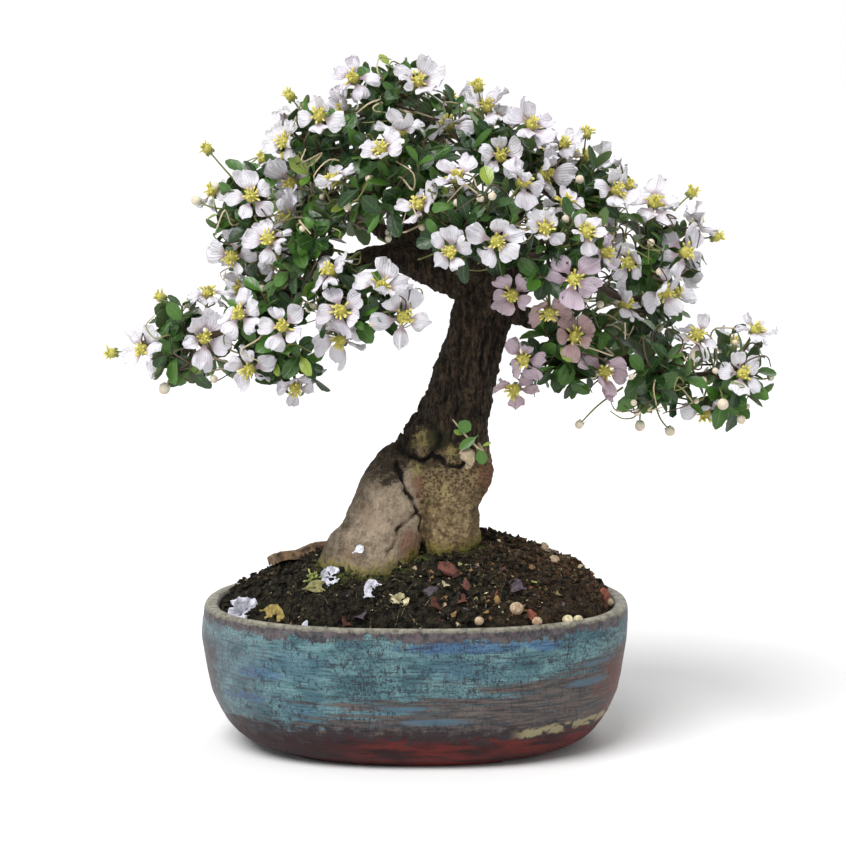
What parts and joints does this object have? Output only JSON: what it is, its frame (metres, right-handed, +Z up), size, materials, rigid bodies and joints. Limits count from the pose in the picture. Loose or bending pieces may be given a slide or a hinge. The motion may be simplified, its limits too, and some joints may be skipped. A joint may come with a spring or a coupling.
{
  "type": "miniature holly bonsai in a glazed oval pot",
  "caption": "Small flowering bonsai with a leaning trunk, spreading leafy pads and white five-petalled blooms, rooted in a mound of soil in a glazed oval pot; a table ornament.",
  "frame": {"origin": "middle of the flat underside of the pot", "axes": "+Z up, +X to the viewer's right along the pot's long side, -Y towards the viewer at the front of the tree"},
  "size_m": [0.22, 0.1269, 0.2324],
  "materials": {
    "glazed_stoneware": "satin",
    "bonsai_soil": "matte",
    "bark": "matte",
    "leaf_green": "satin",
    "petal_white": "matte",
    "screen_black": "matte"
  },
  "bodies": {
    "root": {"blooms_back_left_17": "petal_white", "blooms_back_left_low_22": "petal_white", "blooms_back_low_20": "petal_white", "blooms_back_right_19": "petal_white", "blooms_back_right_low_21": "petal_white", "blooms_back_top_18": "petal_white", "blooms_heart_02": "petal_white", "blooms_left_front_11": "petal_white", "blooms_left_high_06": "petal_white", "blooms_left_high_23": "petal_white", "blooms_left_low_09": "petal_white", "blooms_left_low_10": "petal_white", "blooms_left_mid_07": "petal_white", "blooms_left_tip_08": "petal_white", "blooms_mid_front_12": "petal_white", "blooms_right_24": "petal_white", "blooms_right_25": "petal_white", "blooms_right_front_14": "petal_white", "blooms_right_high_05": "petal_white", "blooms_right_low_15": "petal_white", "blooms_right_tip_16": "petal_white", "blooms_top_01": "petal_white", "blooms_top_left_03": "petal_white", "blooms_top_right_04": "petal_white", "blooms_top_right_13": "petal_white", "drain_screen_left": "screen_black", "drain_screen_right": "screen_black", "leaf_spray_back_left": "leaf_green", "leaf_spray_back_left_low": "leaf_green", "leaf_spray_back_low": "leaf_green", "leaf_spray_back_right": "leaf_green", "leaf_spray_back_right_low": "leaf_green", "leaf_spray_back_top": "leaf_green", "leaf_spray_heart": "leaf_green", "leaf_spray_left_front": "leaf_green", "leaf_spray_left_high": "leaf_green", "leaf_spray_left_low": "leaf_green", "leaf_spray_left_mid": "leaf_green", "leaf_spray_left_tip": "leaf_green", "leaf_spray_mid_front": "leaf_green", "leaf_spray_right": "leaf_green", "leaf_spray_right_front": "leaf_green", "leaf_spray_right_high": "leaf_green", "leaf_spray_right_low": "leaf_green", "leaf_spray_right_low_mid": "leaf_green", "leaf_spray_right_tip": "leaf_green", "leaf_spray_top": "leaf_green", "leaf_spray_top_left": "leaf_green", "leaf_spray_top_right": "leaf_green", "pot": "glazed_stoneware", "soil": "bonsai_soil", "trunk": "bark", "trunk_sprout": "leaf_green"}
  },
  "joints": []
}
